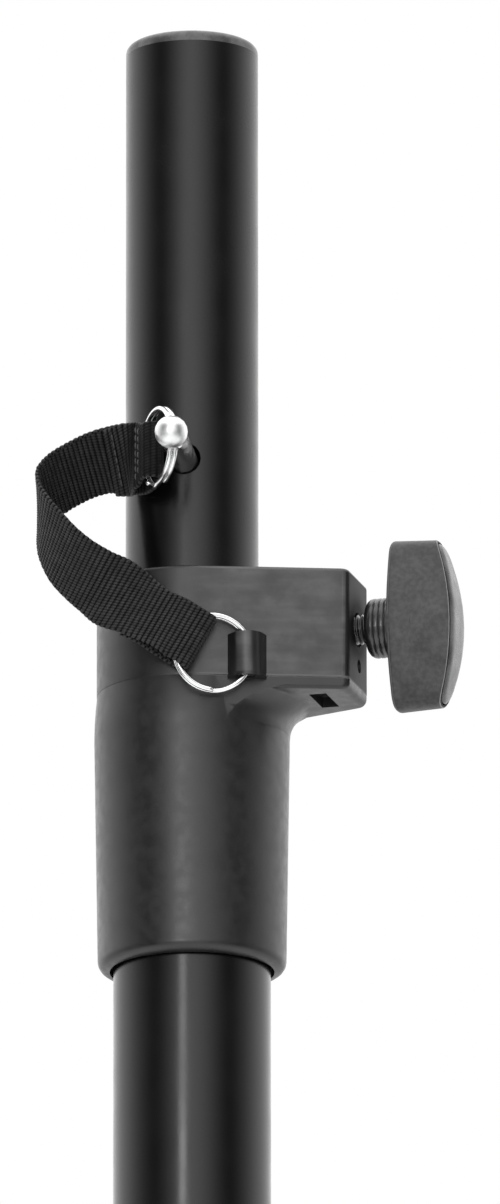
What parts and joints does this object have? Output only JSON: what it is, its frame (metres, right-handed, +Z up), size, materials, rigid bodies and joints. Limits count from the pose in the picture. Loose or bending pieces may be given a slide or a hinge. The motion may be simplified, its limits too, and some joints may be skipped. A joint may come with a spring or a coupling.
{
  "type": "telescoping speaker pole",
  "caption": "Telescoping 35 mm loudspeaker pole with a moulded clamp housing, a screw clamp with an oval knob, and a locking pin tethered by split rings and a webbing strap.",
  "frame": {"origin": "centre of the seat under the base flange, on the pole's axis", "axes": "+Z up the pole, +X along the clamp screw towards the knob, -Y the side with the lug and the locking pin's head"},
  "size_m": [0.1085, 0.0745, 0.8366],
  "materials": {
    "painted_tube": "satin black powder coat",
    "housing_plastic": "black moulded plastic, fine grain, worn smooth on the edges",
    "cap_plastic": "dark grey moulded plastic",
    "liner_plastic": "plain black plastic",
    "zinc_steel": "bright zinc plating",
    "black_steel": "black oxide",
    "chromed_steel": "polished chrome plating",
    "webbing": "black ribbed polyester webbing with sewn ends"
  },
  "bodies": {
    "pole": {"outer_tube": "painted_tube", "clamp_housing": "housing_plastic", "housing_screw_1": "black_steel", "housing_screw_2": "black_steel", "square_nut": "zinc_steel", "upper_guide_bush": "liner_plastic", "base_adapter": "housing_plastic", "adapter_rivet_left": "black_steel", "adapter_rivet_right": "black_steel", "spigot_tube": "painted_tube", "spigot_rivet_left": "black_steel", "spigot_rivet_right": "black_steel", "spigot_end_cap": "cap_plastic", "retaining_strap": "webbing"},
    "extension": {"inner_tube": "painted_tube", "top_cap": "cap_plastic", "lower_guide_bush": "liner_plastic", "foot_rivet_left": "black_steel", "foot_rivet_right": "black_steel"},
    "shoe": {"pressure_shoe": "liner_plastic"},
    "clamp": {"clamp_screw": "zinc_steel", "knob_body": "housing_plastic", "knob_cap": "cap_plastic"},
    "pin": {"locking_pin": "chromed_steel"},
    "upper_ring": {"upper_split_ring": "chromed_steel"},
    "lower_ring": {"lower_split_ring": "chromed_steel"}
  },
  "joints": [
    {"name": "extension_slide", "type": "slide", "parent": "pole", "child": "extension", "axis": [0, 0, 1], "range_m": [0, 0.3]},
    {"name": "shoe_slide", "type": "slide", "parent": "pole", "child": "shoe", "axis": [1, 0, 0], "range_m": [0, 0.00375]},
    {"name": "knob_turn", "type": "hinge", "parent": "shoe", "child": "clamp", "pos_m": [0.0499, 0, 0.57715], "axis": [1, 0, 0], "range_deg": [0, 1120]},
    {"name": "pin_pull", "type": "slide", "parent": "pole", "child": "pin", "axis": [0.1426, -0.9898, 0], "range_m": [0, 0.045], "deforming": ["retaining_strap"]},
    {"name": "upper_ring_spin", "type": "hinge", "parent": "pin", "child": "upper_ring", "pos_m": [-0.0005, -0.0315, 0.6219], "axis": [0.7934, 0.6088, 0], "continuous": true},
    {"name": "lower_ring_spin", "type": "hinge", "parent": "pole", "child": "lower_ring", "pos_m": [0.0126, -0.0253, 0.5666], "axis": [0.4455, -0.8953, 0], "continuous": true}
  ],
  "couplings": [
    {"joint": "knob_turn", "follows": "shoe_slide", "rad_per_m": 5026.5}
  ]
}
